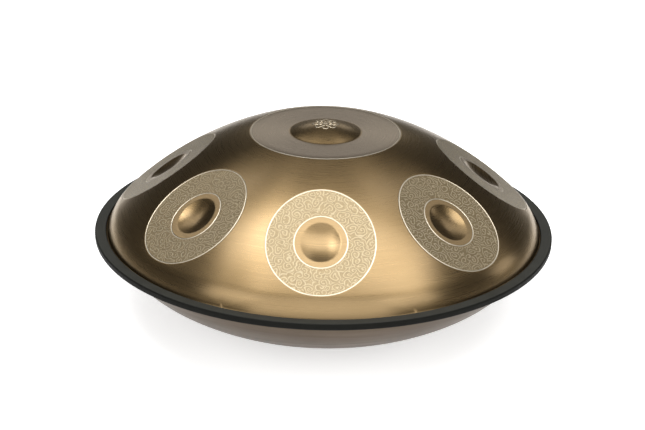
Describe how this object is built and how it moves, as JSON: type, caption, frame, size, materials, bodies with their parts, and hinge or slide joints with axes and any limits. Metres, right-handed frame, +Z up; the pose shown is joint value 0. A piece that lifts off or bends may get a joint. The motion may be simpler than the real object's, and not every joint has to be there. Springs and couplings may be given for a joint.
{
  "type": "handpan",
  "caption": "Handpan: two domed steel half-shells glued at their flanges, with flat tone fields, a raised centre dome, a sound port underneath and a rubber rim trim.",
  "frame": {"origin": "centre of the flat ring around the sound port that the instrument rests on, which is the bottom centre of the whole", "axes": "+Z up through the raised centre dome; -Y towards the player, through the middle of the front tone field; +X to the player's right"},
  "size_m": [0.56, 0.56, 0.2368],
  "materials": {
    "top_steel": "satin brushed bronze-coloured steel with engraved bands",
    "bottom_steel": "satin brown heat-treated steel",
    "rim_rubber": "matte black extruded rubber",
    "glue": "cured structural adhesive"
  },
  "bodies": {
    "root": {"top_shell": "top_steel", "bottom_shell": "bottom_steel", "flange_adhesive": "glue", "rim_trim": "rim_rubber"}
  },
  "joints": []
}
